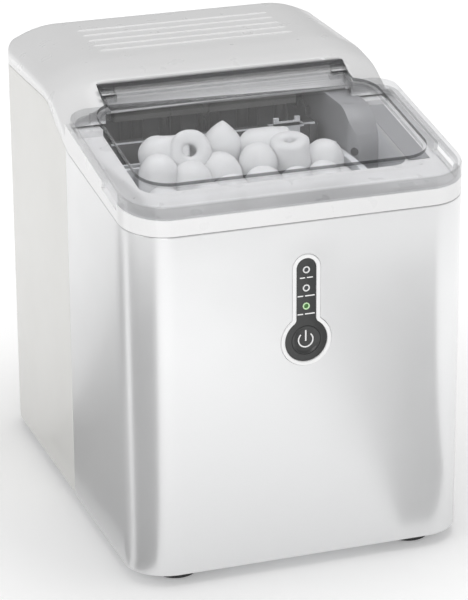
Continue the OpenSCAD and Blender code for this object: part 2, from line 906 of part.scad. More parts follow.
module fan_frame() {
    y0 = 104;
    y1 = 129;
    r = fan_w / 2 - 3;
    color("black") {
        difference() {
            block([fan_x - fan_w / 2, y0, fan_z - fan_w / 2], [fan_x + fan_w / 2, y1, fan_z + fan_w / 2]);
            y_cyl(fan_x, y0 - 1, y1 + 1, fan_z, r);
        }
        for (x = [fan_x - 44, fan_x + 32]) translate([x, y0 + 2, floor_gap + base_t + 0.1]) cube([12, 12, 9]);
        y_cyl(fan_x, 126.2, 128.4, fan_z, 15);
        for (a = [30 : 90 : 300]) translate([fan_x, 126.5, fan_z]) rotate([0, a, 0])
            translate([10, 0, -2]) cube([r - 8.5, 1.7, 4]);
    }
}

module fan_motor() {
    color("dimgray") difference() {
        y_cyl(fan_x, 121, 126.1, fan_z, 15);
        y_cyl(fan_x, 120, 125.4, fan_z, 2 + run_gap);
    }
}

module fan_blades() {
    blades = 7;
    color("black") {
        y_cyl(fan_x, 107, 120, fan_z, 17);
        y_cyl(fan_x, 119, 125, fan_z, 2);
        intersection() {
            y_cyl(fan_x, 106, 121, fan_z, 41.5);
            for (k = [0 : blades - 1]) translate([fan_x, 113, fan_z]) rotate([0, 360 / blades * k, 0])
                translate([14, 0, 0]) rotate([38, 0, 0]) translate([0, -0.9, -12]) cube([30, 1.8, 24]);
        }
    }
}

module water_pump() {
    color("black") {
        translate([-60, 40, 62]) cylinder(r = 17, h = 30);
        translate([-60, 40, 91.9]) cylinder(r = 4.9, h = 28);
        y_cyl(-72, 40, 66, 70, 4);
    }
}

module pump_hose() {
    color("azure") pipe([[-72, 66.1, 70], [-72, 94, 70], [-72, 94, 90], [-84, 84, 150], [-84, 84, 296],
        [-84, 72, 296]], 4);
}

module fill_nozzle() {
    color("white") difference() {
        union() {
            y_cyl(-84, 56, 71.9, 296, 4.6);
            block([-90, 56, 292.9], [-70, 64, 300]);
        }
        y_cyl(-84, 59, 73, 296, 3);
        block([-88, 58, 290], [-72, 62, 298]);
    }
}

module drain_spout() {
    color("ghostwhite") difference() {
        union() {
            x_cyl(71, hw - wall - 1, drain_y, drain_z, 9);
            translate([80, drain_y - 5, drain_z]) cylinder(r = 8.9, h = tub_floor - 0.1 - drain_z);
        }
        x_cyl(74, hw, drain_y, drain_z, 7);
        translate([80, drain_y - 5, drain_z]) cylinder(r = 6.5, h = far);
    }
}

module drain_plug() {
    color("dimgray") {
        x_cyl(103, hw - 3.5, drain_y, drain_z, 7 - run_gap);
        x_cyl(hw - 3.6, hw, drain_y, drain_z, 8.6);
    }
}

// ---- electronics ----

module control_board() {
    color("seagreen") block([-46, -138, 30], [46, -136.4, 92]);
    color("black") for (x = [-32, 0, 26]) block([x - 9, -136.5, 44], [x + 9, -124, 60]);
    color("darkgray") for (x = [-30, -12, 6, 24]) block([x - 5, -136.5, 70], [x + 5, -130, 86]);
    color("gray") for (x = [-42, 42]) block([x - 3, -141, floor_gap + base_t], [x + 3, -137.9, 40]);
}

module power_supply() {
    color("silver") block([-48, -110, 11], [48, -40, 46]);
}

base_pan();
rubber_feet();
foot_screws();
casing_screws();
front_panel();
left_casing();
right_casing();
back_panel();
rear_grille();
cord_gland();
top_cover();
lid();
lid_hinge_pins();
panel_surround();
panel_fascia();
indicator_bezels();
indicator_lenses();
power_button();
power_symbol();
display_board();
button_switch();
inner_tub();
tub_screws();
rear_shield();
foam_insulation();
ice_basket();
ice_chute();
water_tray();
ice_shovel();
tray_bush();
motor_housing();
gear_motor();
ice_sensor();
level_sensor();
evaporator();
evaporator_bracket();
suction_tube();
liquid_tube();
discharge_tube();
filter_drier();
hot_gas_valve();
compressor();
compressor_grommets();
relay_cover();
condenser();
fan_frame();
fan_motor();
fan_blades();
water_pump();
pump_hose();
fill_nozzle();
drain_spout();
drain_plug();
control_board();
power_supply();
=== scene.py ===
"""Countertop ice maker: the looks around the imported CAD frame.

Sizes are in millimetres, and become metres in mm(). Lights and the camera are set in metres.
"""
import json
import math
import random

import bmesh
import bpy
from mathutils import Matrix, Vector


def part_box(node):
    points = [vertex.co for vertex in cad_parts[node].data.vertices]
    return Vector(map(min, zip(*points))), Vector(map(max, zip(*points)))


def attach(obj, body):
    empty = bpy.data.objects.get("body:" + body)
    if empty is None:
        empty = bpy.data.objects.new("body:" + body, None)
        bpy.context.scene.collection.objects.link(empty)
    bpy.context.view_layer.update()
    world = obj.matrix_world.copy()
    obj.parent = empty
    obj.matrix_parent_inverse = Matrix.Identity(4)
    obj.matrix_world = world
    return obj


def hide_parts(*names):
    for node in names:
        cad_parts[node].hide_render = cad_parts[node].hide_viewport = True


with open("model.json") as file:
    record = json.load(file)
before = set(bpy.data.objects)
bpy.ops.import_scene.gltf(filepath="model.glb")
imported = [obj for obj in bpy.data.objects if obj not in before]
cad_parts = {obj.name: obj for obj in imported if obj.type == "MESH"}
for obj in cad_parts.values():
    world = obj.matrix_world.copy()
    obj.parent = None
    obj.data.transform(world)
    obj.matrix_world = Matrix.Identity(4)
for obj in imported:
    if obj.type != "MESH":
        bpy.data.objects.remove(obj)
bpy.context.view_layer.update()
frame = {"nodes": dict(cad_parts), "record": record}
nodes = frame["nodes"]
MM = 0.001
WELD = 1e-6


def mm(*values):
    """Vector in metres from values in millimetres."""
    return Vector(values) * MM


def node_box(name):
    """Lowest and highest corner of a CAD node, in millimetres."""
    return tuple(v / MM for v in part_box(name))


# ---- driving sizes, taken from the frame ----

side_lo, side_hi = node_box("left_casing")
HALF_W = -side_lo.x
HALF_D = side_hi.y
SEAM_GAP = 0.4
SPLIT_Y = side_lo.y - SEAM_GAP
COVER_Y = SPLIT_Y + 0.25
SIDE_END = -side_hi.x
BACK_END = node_box("back_panel")[1].x
BASE_Z = node_box("front_panel")[0].z
DOME_Z = node_box("top_cover")[1].z
FRONT_R = 30
REAR_R = 28
WALL = 3
# Seam between the casings and the top cover, seen from the side
SEAM = [(-182, 252), (-162, 252), (-16, 268.5), (-4, 272.8), (14.6, 280.3), (32.9, 290.7), (44, 291.6),
        (105.5, 290), (182, 289)]
# Middle line of the dome, up to its flat top
DOME_LINE = [(-30, 285.8), (-5, 299), (10, 307), (15.5, 310.7), (22, 312.2), (43, 315.5)]
REAR_BEND = 20
# Beyond a ridge at each side the dome falls away
RIDGE_IN = 26
RIDGE_X = HALF_W - RIDGE_IN
RIDGE_FALL = 12 / RIDGE_IN
DOME_LINES_Y = (63.6, 77, 90.5, 104.8, 118.3)
# Front edge of the lid's top, and how the lid slopes
LID_TOP = node_box("lid")[0].z + 9.5
LID_SLOPE = math.tan(math.radians(8.92))
# A level under the cover and the lid, where the solids that shape them start
UNDER = 200
# Control panel: surround, bar above the button, button and indicators
surround_lo, surround_hi = node_box("panel_surround")
FACE_Y = -HALF_D
SURROUND_R = surround_hi.x
BAR_HW = 9.85
BAR_TOP = surround_hi.z
BUTTON_Z = surround_lo.z + SURROUND_R
BUTTON_R = 10.2
LED_Z = [BUTTON_Z + 24.4 + 12.9 * k for k in range(3)]
# Edge rounding of the CAD nodes that show; the rest get the small one
BEVELS = {"motor_housing": 2.5, "ice_basket": 0.6, "inner_tub": 0.6, "water_tray": 0.6}
SMALL_BEVEL = 0.4


def along(line, at):
    """Height of a side line at a depth."""
    for (a, za), (b, zb) in zip(line, line[1:]):
        if at <= b:
            return za + (zb - za) * (at - a) / (b - a)
    return line[-1][1]


def smoothstep(value):
    """Soft step from 0 to 1."""
    value = min(1, max(0, value))
    return value * value * (3 - 2 * value)


def place(name, data):
    """New object in the scene."""
    thing = bpy.data.objects.new(name, data)
    bpy.context.collection.objects.link(thing)
    return thing


# ---- camera and light ----

def make_camera():
    """A long lens from the upper front left, as the photograph has it."""
    azimuth, elevation, roll = math.radians(-19.13), math.radians(21.04), math.radians(-0.35)
    distance, target = 2.097, mm(4.51, -2, 138.15)
    back = Vector((
        math.sin(azimuth) * math.cos(elevation),
        -math.cos(azimuth) * math.cos(elevation),
        math.sin(elevation)))
    right = Vector((math.cos(azimuth), math.sin(azimuth), 0))
    up = back.cross(right)
    rolled_right = right * math.cos(roll) + up * math.sin(roll)
    rolled_up = up * math.cos(roll) - right * math.sin(roll)
    data = bpy.data.cameras.new("camera")
    data.sensor_width, data.lens = 36, 174.27
    data.clip_start, data.clip_end = 0.05, 50
    camera = place("camera", data)
    camera.matrix_world = Matrix.Translation(target + back * distance) @ Matrix(
        (rolled_right, rolled_up, back)).transposed().to_4x4()
    bpy.context.scene.camera = camera


def soft_light(name, at, aim, size, power):
    """White area light at a place, turned to a point."""
    data = bpy.data.lights.new(name, "AREA")
    data.shape, data.size, data.size_y = "RECTANGLE", size[0], size[1]
    data.energy = power
    light = place(name, data)
    light.location = at
    light.rotation_mode = "QUATERNION"
    light.rotation_quaternion = (Vector(aim) - Vector(at)).to_track_quat("-Z", "Y")


def make_flag(name, corners, shade, height=1):
    """Card just above the floor that only reflections see, to give gloss a darker edge."""
    a, b, c, d = [(x, y, height) for x, y in corners]
    mesh = loft([[a, b], [d, c]], name, wrap_points=False, caps=False)
    flag = place(name, mesh)
    mesh.materials.append(moulded(name + "_felt", (shade,) * 3, 0.9))
    flag.visible_camera = False
    flag.visible_diffuse = False
    flag.visible_shadow = False
    flag.visible_transmission = False


def make_studio():
    """White surroundings that light less than they show, and banks overhead, in front and at the left."""
    bpy.context.scene.view_settings.view_transform = "Standard"
    world = bpy.data.worlds.new("studio")
    world.use_nodes = True
    tree = world.node_tree
    path = tree.nodes.new("ShaderNodeLightPath")
    level = tree.nodes.new("ShaderNodeMapRange")
    level.inputs["To Min"].default_value = 0.43
    level.inputs["To Max"].default_value = 1.02
    tree.links.new(path.outputs["Is Camera Ray"], level.inputs["Value"])
    tree.links.new(level.outputs["Result"], tree.nodes["Background"].inputs["Strength"])
    tree.nodes["Background"].inputs["Color"].default_value = (1, 1, 1, 1)
    bpy.context.scene.world = world
    soft_light("overhead", (0.2, 0.0, 1.8), (0, 0, 0.1), (1.1, 1.0), 7.5)
    soft_light("left_bank", (-1.4, -0.5, 1.0), (0, 0, 0.15), (0.8, 0.8), 2)
    soft_light("front_bank", (-0.6, -2.0, 1.0), (0, 0, 0.12), (1.0, 0.8), 7.5)


# ---- materials ----

class Mat:
    """A node material with a Principled shader and short helpers for what feeds it."""

    def __init__(self, name, color, rough, **sockets):
        self.mat = bpy.data.materials.new(name)
        self.mat.use_nodes = True
        self.tree = self.mat.node_tree
        self.shader = next(n for n in self.tree.nodes if n.type == "BSDF_PRINCIPLED")
        self.shader.inputs["Base Color"].default_value = (*color[:3], 1)
        self.shader.inputs["Roughness"].default_value = rough
        for key, value in sockets.items():
            self.shader.inputs[key.replace("_", " ")].default_value = value
        self.coords = self.tree.nodes.new("ShaderNodeTexCoord")

    def noise(self, scale, detail=4, rough=0.5, stretch=None):
        """Noise over the object, in its own axes."""
        node = self.tree.nodes.new("ShaderNodeTexNoise")
        node.inputs["Scale"].default_value = scale
        node.inputs["Detail"].default_value = detail
        node.inputs["Roughness"].default_value = rough
        source = self.coords.outputs["Object"]
        if stretch:
            mapping = self.tree.nodes.new("ShaderNodeMapping")
            mapping.inputs["Scale"].default_value = stretch
            self.tree.links.new(source, mapping.inputs["Vector"])
            source = mapping.outputs["Vector"]
        self.tree.links.new(source, node.inputs["Vector"])
        return node.outputs["Fac"]

    def spread(self, value, low, high, lo_in=0.3, hi_in=0.7):
        """A value's range mapped to low and high."""
        node = self.tree.nodes.new("ShaderNodeMapRange")
        node.inputs["From Min"].default_value = lo_in
        node.inputs["From Max"].default_value = hi_in
        node.inputs["To Min"].default_value = low
        node.inputs["To Max"].default_value = high
        self.tree.links.new(value, node.inputs["Value"])
        return node.outputs["Result"]

    def ramp(self, value, stops):
        """Colour by value, from (position, colour) stops."""
        node = self.tree.nodes.new("ShaderNodeValToRGB")
        ramp = node.color_ramp
        for k, (at, color) in enumerate(stops):
            stop = ramp.elements[k] if k < 2 else ramp.elements.new(at)
            stop.position, stop.color = at, (*color, 1)
        self.tree.links.new(value, node.inputs["Fac"])
        return node.outputs["Color"]

    def bump(self, height, strength, distance):
        """Fine relief; the distance is in metres."""
        node = self.tree.nodes.new("ShaderNodeBump")
        node.inputs["Strength"].default_value = strength
        node.inputs["Distance"].default_value = distance
        self.tree.links.new(height, node.inputs["Height"])
        self.tree.links.new(node.outputs["Normal"], self.shader.inputs["Normal"])

    def math(self, operation, *values):
        """A sum, product or other operation on values."""
        node = self.tree.nodes.new("ShaderNodeMath")
        node.operation = operation
        for value, socket in zip(values, node.inputs):
            self.tree.links.new(value, socket)
        return node.outputs["Value"]

    def dot(self, source, direction, then=None):
        """How far a texture coordinate reaches along a direction."""
        node = self.tree.nodes.new("ShaderNodeVectorMath")
        node.operation = "DOT_PRODUCT"
        node.inputs[1].default_value = direction
        self.tree.links.new(self.coords.outputs[source], node.inputs[0])
        return self.math(then, node.outputs["Value"]) if then else node.outputs["Value"]

    def feed(self, output, socket):
        """Links an output to a socket of the shader."""
        self.tree.links.new(output, self.shader.inputs[socket])


def tone(color, factor):
    """The colour made lighter or darker."""
    return tuple(min(1, c * factor) for c in color)


def moulded(name, color, rough=0.35, grain=700, depth=0.00001, strength=0.04, vary=0.012, **sockets):
    """Moulded plastic: fine grain, and a faint mottling of colour and gloss."""
    m = Mat(name, color, rough, **sockets)
    mottle = [(0.3, tone(color, 1 - vary)), (0.7, tone(color, 1 + vary))]
    m.feed(m.ramp(m.noise(14, 5), mottle), "Base Color")
    m.feed(m.spread(m.noise(60, 6), rough * 0.88, rough * 1.12), "Roughness")
    m.bump(m.noise(grain, 3), strength, depth)
    return m.mat


def metal(name, color, rough=0.3, stretch=(1, 1, 1), grain=500, **sockets):
    """Metal with a drawn or brushed grain."""
    m = Mat(name, color, rough, Metallic=1.0, **sockets)
    lines = m.noise(grain, 4, 0.6, stretch)
    m.feed(m.spread(lines, rough * 0.75, rough * 1.3), "Roughness")
    m.feed(m.ramp(m.noise(22, 5), [(0.3, tone(color, 0.9)), (0.7, tone(color, 1.06))]), "Base Color")
    m.bump(lines, 0.08, 0.00003)
    return m.mat


def clear_plastic():
    """Clear, faintly smoked moulding, with painted shade on its steep walls, deepest on the raised window;
    lamps shine through it.
    """
    m = Mat("clear_plastic", (0.93, 0.94, 0.95), 0.02, Transmission_Weight=1.0, IOR=1.002,
            Coat_Weight=1.0, Coat_Roughness=0.06, Coat_IOR=1.5)
    facing = m.dot("Normal", (0, 0, 1), "ABSOLUTE")
    steep = m.spread(facing, 1, 0, 0.4, 0.93)
    # Painted shade on the steep walls, full only on the raised window: above the border's top, which lies
    # at this level
    level = (LID_TOP + LID_SLOPE * HALF_D) * MM
    raised = m.spread(m.dot("Object", (0, -LID_SLOPE, 1)), 0.4, 1, level + 0.00005, level + 0.0004)
    shade = m.math("MULTIPLY", steep, raised)
    # Smoke colour for the lid, turned to painted shade where the steep-wall mask is high
    smoke_and_wall_shade = m.ramp(shade, [(0, (0.96, 0.962, 0.97)), (1, (0.1, 0.102, 0.105))])
    m.feed(smoke_and_wall_shade, "Base Color")
    m.feed(m.spread(m.noise(40, 5), 0.01, 0.03), "Roughness")
    m.bump(m.noise(9, 3), 0.06, 0.0005)
    tree = m.tree
    path = tree.nodes.new("ShaderNodeLightPath")
    through = tree.nodes.new("ShaderNodeBsdfTransparent")
    tree.links.new(smoke_and_wall_shade, through.inputs["Color"])
    mix = tree.nodes.new("ShaderNodeMixShader")
    output = next(n for n in tree.nodes if n.type == "OUTPUT_MATERIAL")
    tree.links.new(path.outputs["Is Shadow Ray"], mix.inputs["Fac"])
    tree.links.new(m.shader.outputs["BSDF"], mix.inputs[1])
    tree.links.new(through.outputs["BSDF"], mix.inputs[2])
    tree.links.new(mix.outputs["Shader"], output.inputs["Surface"])
    return m.mat


def ice_material():
    """Cloudy, frosted ice."""
    m = Mat("cloudy_ice", (0.95, 0.96, 0.97), 0.35, IOR=1.31, Transmission_Weight=0.12,
            Subsurface_Weight=0.7, Subsurface_Scale=0.01)
    m.shader.inputs["Subsurface Radius"].default_value = (1.0, 1.0, 1.0)
    m.feed(m.ramp(m.noise(60, 4), [(0.3, (0.91, 0.92, 0.93)), (0.7, (0.98, 0.98, 0.985))]), "Base Color")
    m.feed(m.spread(m.noise(120, 4), 0.28, 0.5), "Roughness")
    m.bump(m.noise(110, 3), 0.12, 0.0003)
    return m.mat


def pearl_material():
    """Pearl lacquer: fine flakes under a clear coat."""
    color = (0.83, 0.833, 0.837)
    m = Mat("pearl_panel", color, 0.3, Metallic=0.6, Coat_Weight=0.3, Coat_Roughness=0.1)
    flakes = m.noise(2600, 2, 0.7)
    m.feed(m.ramp(flakes, [(0.35, tone(color, 0.985)), (0.65, tone(color, 1.015))]), "Base Color")
    m.feed(m.spread(m.noise(45, 5), 0.28, 0.32), "Roughness")
    m.bump(m.noise(6, 2), 0.02, 0.0008)
    return m.mat


MATS = {
    "pearl_panel": pearl_material(),
    "warm_white_casing": moulded("warm_white_casing", (0.83, 0.825, 0.8), 0.38, Coat_Weight=0.15),
    "white_cover": moulded("white_cover", (0.87, 0.87, 0.872), 0.3, Coat_Weight=0.25),
    "white_liner": moulded("white_liner", (0.8, 0.81, 0.83), 0.42),
    "clear_lid": clear_plastic(),
    "dark_fascia": moulded("dark_fascia", (0.035, 0.036, 0.036), 0.34, Coat_Weight=0.2),
    "white_mark": moulded("white_mark", (0.95, 0.95, 0.95), 0.45),
    "green_lens": moulded("green_lens", (0.07, 0.2, 0.05), 0.2, vary=0.05),
    "unlit_lens": moulded("unlit_lens", (0.06, 0.065, 0.07), 0.2),
    "lit_ring": moulded("lit_ring", (0.68, 0.95, 0.58), 0.35),
    "ice": ice_material(),
    "black_rubber": moulded("black_rubber", (0.035, 0.035, 0.036), 0.65, grain=900, strength=0.5),
    "black_plastic": moulded("black_plastic", (0.05, 0.05, 0.053), 0.45),
    "grey_plastic": moulded("grey_plastic", (0.36, 0.362, 0.375), 0.42),
    "tray_plastic": moulded("tray_plastic", (0.1, 0.1, 0.1), 0.4),
    "zinc_steel": metal("zinc_steel", (0.4, 0.4, 0.4), 0.4),
    # Dark base colour for the nickel: painted shade of the hollow under the hood
    "nickel_plate": metal("nickel_plate", (0.24, 0.237, 0.225), 0.34, (1, 1, 0.1), 120),
    "copper_tube": metal("copper_tube", (0.78, 0.42, 0.27), 0.3),
    "aluminium_fins": metal("aluminium_fins", (0.78, 0.78, 0.79), 0.34, (1, 0.2, 1)),
    "black_enamel": moulded("black_enamel", (0.02, 0.02, 0.022), 0.25, Coat_Weight=0.5),
    "galvanised_pan": metal("galvanised_pan", (0.55, 0.56, 0.57), 0.42, grain=60),
    "foam": moulded("foam", (0.8, 0.74, 0.55), 0.8, grain=500, depth=0.0003, strength=0.6, vary=0.06),
    "green_board": moulded("green_board", (0.03, 0.2, 0.08), 0.4, vary=0.08),
    "clear_hose": moulded("clear_hose", (0.8, 0.84, 0.86), 0.25),
}


# ---- mesh helpers ----

def make_piece(name, mesh, slot, body="cabinet", replaces=(), sharp=35, bevel=0, look=None):
    """Puts a mesh on a body, with its slot's material, or with another one as its look."""
    piece = place(name, mesh)
    mesh.materials.clear()
    mesh.materials.append(MATS[look or slot])
    mesh.shade_smooth()
    mesh.set_sharp_from_angle(angle=math.radians(sharp))
    if bevel:
        add_bevel(piece, bevel)
    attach(piece, body)
    if replaces:
        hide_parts(*replaces)
    return piece


def add_bevel(piece, width, segments=2, angle=40):
    """Rounds the edges sharper than an angle."""
    bevel = piece.modifiers.new("bevel", "BEVEL")
    bevel.width, bevel.segments = width * MM, segments
    bevel.limit_method, bevel.angle_limit = "ANGLE", math.radians(angle)
    bevel.harden_normals = True


def mesh_of(bm, name):
    """Mesh of a bmesh, with its faces all outwards."""
    mesh = bpy.data.meshes.new(name)
    bmesh.ops.recalc_face_normals(bm, faces=bm.faces)
    bm.to_mesh(mesh)
    bm.free()
    return mesh


def loft(rings, name, wrap_rings=False, wrap_points=True, caps=True):
    """Mesh through rings of equally many points."""
    bm = bmesh.new()
    rows = [[bm.verts.new(mm(*p)) for p in ring] for ring in rings]
    count = len(rows[0])
    pairs = list(zip(rows, rows[1:])) + ([(rows[-1], rows[0])] if wrap_rings else [])
    for a, b in pairs:
        for k in range(count if wrap_points else count - 1):
            n = (k + 1) % count
            bm.faces.new((a[k], a[n], b[n], b[k]))
    if caps and not wrap_rings:
        bm.faces.new(rows[0])
        bm.faces.new(rows[-1])
    return mesh_of(bm, name)


def cut(mesh, cutters, operation="DIFFERENCE"):
    """The mesh with other meshes taken away from it, or kept in common."""
    target = place("cut_target", mesh)
    helpers = []
    for cutter in cutters:
        helper = place("cutter", cutter)
        boolean = target.modifiers.new("cut", "BOOLEAN")
        boolean.operation, boolean.object, boolean.solver = operation, helper, "EXACT"
        helpers.append(helper)
    graph = bpy.context.evaluated_depsgraph_get()
    shaped = bpy.data.meshes.new_from_object(target.evaluated_get(graph))
    for helper in helpers + [target]:
        bpy.data.objects.remove(helper)
    return shaped


def joined(meshes, name):
    """One mesh of several."""
    bm = bmesh.new()
    for mesh in meshes:
        bm.from_mesh(mesh)
    whole = bpy.data.meshes.new(name)
    bm.to_mesh(whole)
    bm.free()
    return whole


def turned(profile, centre, name, wrap=False, count=48):
    """Mesh turned round an axis along Y through centre (x, z), from (radius, y) pairs."""
    turns = [2 * math.pi * k / count for k in range(count)]
    x, z = centre
    rings = [[(x + r * math.cos(a), y, z + r * math.sin(a)) for a in turns] for r, y in profile]
    return loft(rings, name, wrap_rings=wrap)


def box_mesh(lo, hi):
    """Block between two corners."""
    corners = ((lo[0], lo[1]), (hi[0], lo[1]), (hi[0], hi[1]), (lo[0], hi[1]))
    return loft([[(x, y, z) for x, y in corners] for z in (lo[2], hi[2])], "box")


def disc_mesh(centre, axis, start, end, radius, count=64):
    """Cylinder along X (0) or Y (1) from start to end."""
    rings = []
    for at in (start, end):
        ring = []
        for k in range(count):
            a = 2 * math.pi * k / count
            u, v = centre[0] + radius * math.cos(a), centre[1] + radius * math.sin(a)
            ring.append((at, u, v) if axis == 0 else (u, at, v))
        rings.append(ring)
    return loft(rings, "disc")


def cad_copy(name):
    """Copy of a CAD node's mesh with its split corners welded, for a piece that refines it."""
    bm = bmesh.new()
    bm.from_mesh(nodes[name].data)
    bmesh.ops.remove_doubles(bm, verts=bm.verts, dist=WELD)
    mesh = bpy.data.meshes.new(name + "_copy")
    bm.to_mesh(mesh)
    bm.free()
    return mesh


def merge_flat(mesh, angle=0.6):
    """Joins the triangles of flat faces."""
    bm = bmesh.new()
    bm.from_mesh(mesh)
    bmesh.ops.remove_doubles(bm, verts=bm.verts, dist=WELD)
    bmesh.ops.dissolve_limit(bm, angle_limit=math.radians(angle), verts=bm.verts, edges=bm.edges)
    bm.to_mesh(mesh)
    bm.free()
    return mesh


# ---- casings ----

def plan_path(y_start, front, step=9):
    """Stations (x, y, outward x, outward y) from left to right, round the front or round the back."""
    radius, sign = (FRONT_R, -1) if front else (REAR_R, 1)
    corner_y = sign * (HALF_D - radius)
    count = max(2, round(abs(corner_y - y_start) / step))
    path = [(-HALF_W, y_start + (corner_y - y_start) * k / count, -1, 0) for k in range(count)]
    for k in range(17):
        a = math.pi / 2 * k / 16
        path.append((-HALF_W + radius * (1 - math.cos(a)), corner_y + sign * radius * math.sin(a),
                     -math.cos(a), sign * math.sin(a)))
    path += [(x, sign * HALF_D, 0, sign) for x in (-60, -30, 0)]
    return path + [(-x, y, -nx, ny) for x, y, nx, ny in reversed(path[:-1])]


def wall_ring(station, base, drop=0.0):
    """Closed section of the casing wall at a station, with rounded edges; drop pulls it in all round."""
    x, y, nx, ny = station
    top = along(SEAM, y) - drop
    base = base + drop
    i0, i1 = drop, WALL - drop
    section = [(i0, base + 0.8), (i0, top - 0.9), (i0 + 0.08, top - 0.5), (i0 + 0.3, top - 0.16),
               (i0 + 0.75, top), (i1 - 0.6, top), (i1 - 0.1, top - 0.3), (i1, top - 0.7),
               (i1, base + 0.6), (i1 - 0.5, base), (i0 + 0.7, base), (i0 + 0.2, base + 0.25)]
    return [(x - nx * i, y - ny * i, z) for i, z in section]


def casing_mesh(path, base, name, drop=0.45):
    """Wall along a path, with its two ends rounded off."""
    def nudged(end, neighbour):
        step = Vector(neighbour[:2]) - Vector(end[:2])
        step *= 0.5 / step.length
        return (end[0] + step.x, end[1] + step.y, *end[2:])

    body = [nudged(path[0], path[1])] + path[1:-1] + [nudged(path[-1], path[-2])]
    first, last = wall_ring(path[0], base, drop), wall_ring(path[-1], base, drop)
    return loft([first] + [wall_ring(station, base) for station in body] + [last], name)


def outline_points(inset, neck=1.5, arc=10):
    """Control panel outline, moved in by inset: disc round the button, filleted neck, bar, round top."""
    disc_r, bar, fillet = SURROUND_R - inset, BAR_HW - inset, neck + inset
    top = BAR_TOP - BAR_HW
    neck_z = math.sqrt((disc_r + fillet) ** 2 - (bar + fillet) ** 2)
    reach = math.atan2(neck_z, bar + fillet)
    half = []
    for k in range(4 * arc + 1):
        a = -math.pi / 2 + (reach + math.pi / 2) * k / (4 * arc)
        half.append((disc_r * math.cos(a), BUTTON_Z + disc_r * math.sin(a)))
    for k in range(1, arc + 1):
        a = math.pi + reach - reach * k / arc
        half.append((bar + fillet + fillet * math.cos(a), BUTTON_Z + neck_z + fillet * math.sin(a)))
    for k in range(2 * arc + 1):
        a = math.pi / 2 * k / (2 * arc)
        half.append((bar * math.cos(a), top + bar * math.sin(a)))
    return half + [(-x, z) for x, z in reversed(half[1:-1])]


def panel_rings(profile):
    """Rings round the control panel from (inset, depth behind the front face) pairs."""
    return [[(x, FACE_Y + depth, z) for x, z in outline_points(inset)] for inset, depth in profile]


def make_casings(reach=10, proud=2, gland_r=7, plug_r=9.2):
    """Front panel, side casings and back panel, open where the panel, grille, gland and plug go."""
    hole = loft(panel_rings([(-0.28, -2), (-0.28, 8)]), "panel_hole")
    front = cut(casing_mesh(plan_path(SPLIT_Y, True), BASE_Z, "front_shell"), [hole])
    make_piece("front_panel_shell", front, "pearl_panel", replaces=["front_panel"])
    grille_lo, grille_hi = node_box("rear_grille")
    gland_lo, gland_hi = node_box("cord_gland")
    plug_lo, plug_hi = node_box("drain_plug")
    rim = 2
    gland_at = (gland_lo.x + gland_hi.x) / 2, (gland_lo.z + gland_hi.z) / 2
    plug_at = (plug_lo.y + plug_hi.y) / 2, (plug_lo.z + plug_hi.z) / 2
    openings = [
        box_mesh((grille_lo.x + rim, HALF_D - reach, grille_lo.z + rim),
                 (grille_hi.x - rim, HALF_D + proud, grille_hi.z - rim)),
        disc_mesh(gland_at, 1, HALF_D - reach, HALF_D + proud, gland_r),
        disc_mesh(plug_at, 0, HALF_W - reach, HALF_W + proud, plug_r)]
    rear = plan_path(SPLIT_Y + SEAM_GAP, False)
    side = [station for station in rear if station[0] < -SIDE_END] + [(-SIDE_END, HALF_D, 0, 1)]
    other = [(-x, y, -nx, ny) for x, y, nx, ny in side]
    back = [(x, HALF_D, 0, 1) for x in (-BACK_END, -60, -30, 0, 30, 60, BACK_END)]
    for name, path in (("left_casing", side), ("right_casing", other), ("back_panel", back)):
        shell = cut(casing_mesh(path, BASE_Z + 1, name), [opening.copy() for opening in openings])
        make_piece(name + "_shell", shell, "warm_white_casing", replaces=[name])


# ---- control panel ----

def make_panel():
    """White surround, dark fascia, three ringed indicators and plain dashes under them."""
    ring = [(0, WALL), (0, -0.35), (0.12, -0.62), (0.4, -0.76), (0.75, -0.8), (2.0, -0.8), (2.35, -0.74),
            (2.62, -0.55), (2.75, -0.2), (2.75, WALL)]
    make_piece("panel_surround_ring", loft(panel_rings(ring), "ring", wrap_rings=True), "white_cover",
               replaces=["panel_surround"], look="white_mark")
    plate = loft(panel_rings([(2.83, WALL), (2.83, 0.35), (2.95, 0.22), (3.1, 0.18)]), "plate")
    holes = [disc_mesh((0, BUTTON_Z), 1, FACE_Y - 2, FACE_Y + 6, BUTTON_R + 0.18)]
    holes += [disc_mesh((0, z), 1, FACE_Y - 2, FACE_Y + 6, 2.6, 32) for z in LED_Z]
    make_piece("panel_fascia_plate", cut(plate, holes), "dark_fascia", replaces=["panel_fascia"])
    for k, z in enumerate(LED_Z):
        bezel = [(2.5, FACE_Y + 3), (2.5, FACE_Y + 0.05), (2.35, FACE_Y - 0.2), (1.8, FACE_Y - 0.2),
                 (1.65, FACE_Y - 0.05), (1.6, FACE_Y + 0.3), (1.6, FACE_Y + 3)]
        lens = [(1.55, FACE_Y + 6.4), (1.55, FACE_Y + 0.6), (1.1, FACE_Y + 0.4), (0.5, FACE_Y + 0.3)]
        lit = k == 0
        make_piece(f"indicator_ring_{k + 1}", turned(bezel, (0, z), "bezel", True), "white_mark",
                   replaces=["indicator_bezels"], look="lit_ring" if lit else "white_mark")
        make_piece(f"indicator_lens_{k + 1}", turned(lens, (0, z), "lens"), "green_lens",
                   replaces=["indicator_lenses"], look="green_lens" if lit else "unlit_lens")
        dashes = [(-4.6, -0.9), (0.4, 4.6)] if k == 2 else [(-6.2, -2.2), (-0.9, 6.0)]
        marks = [box_mesh((x0, FACE_Y + 0.1, z - 6), (x1, FACE_Y + 0.3, z - 5.2)) for x0, x1 in dashes]
        make_piece(f"panel_dashes_{k + 1}", joined(marks, "dashes"), "white_mark")


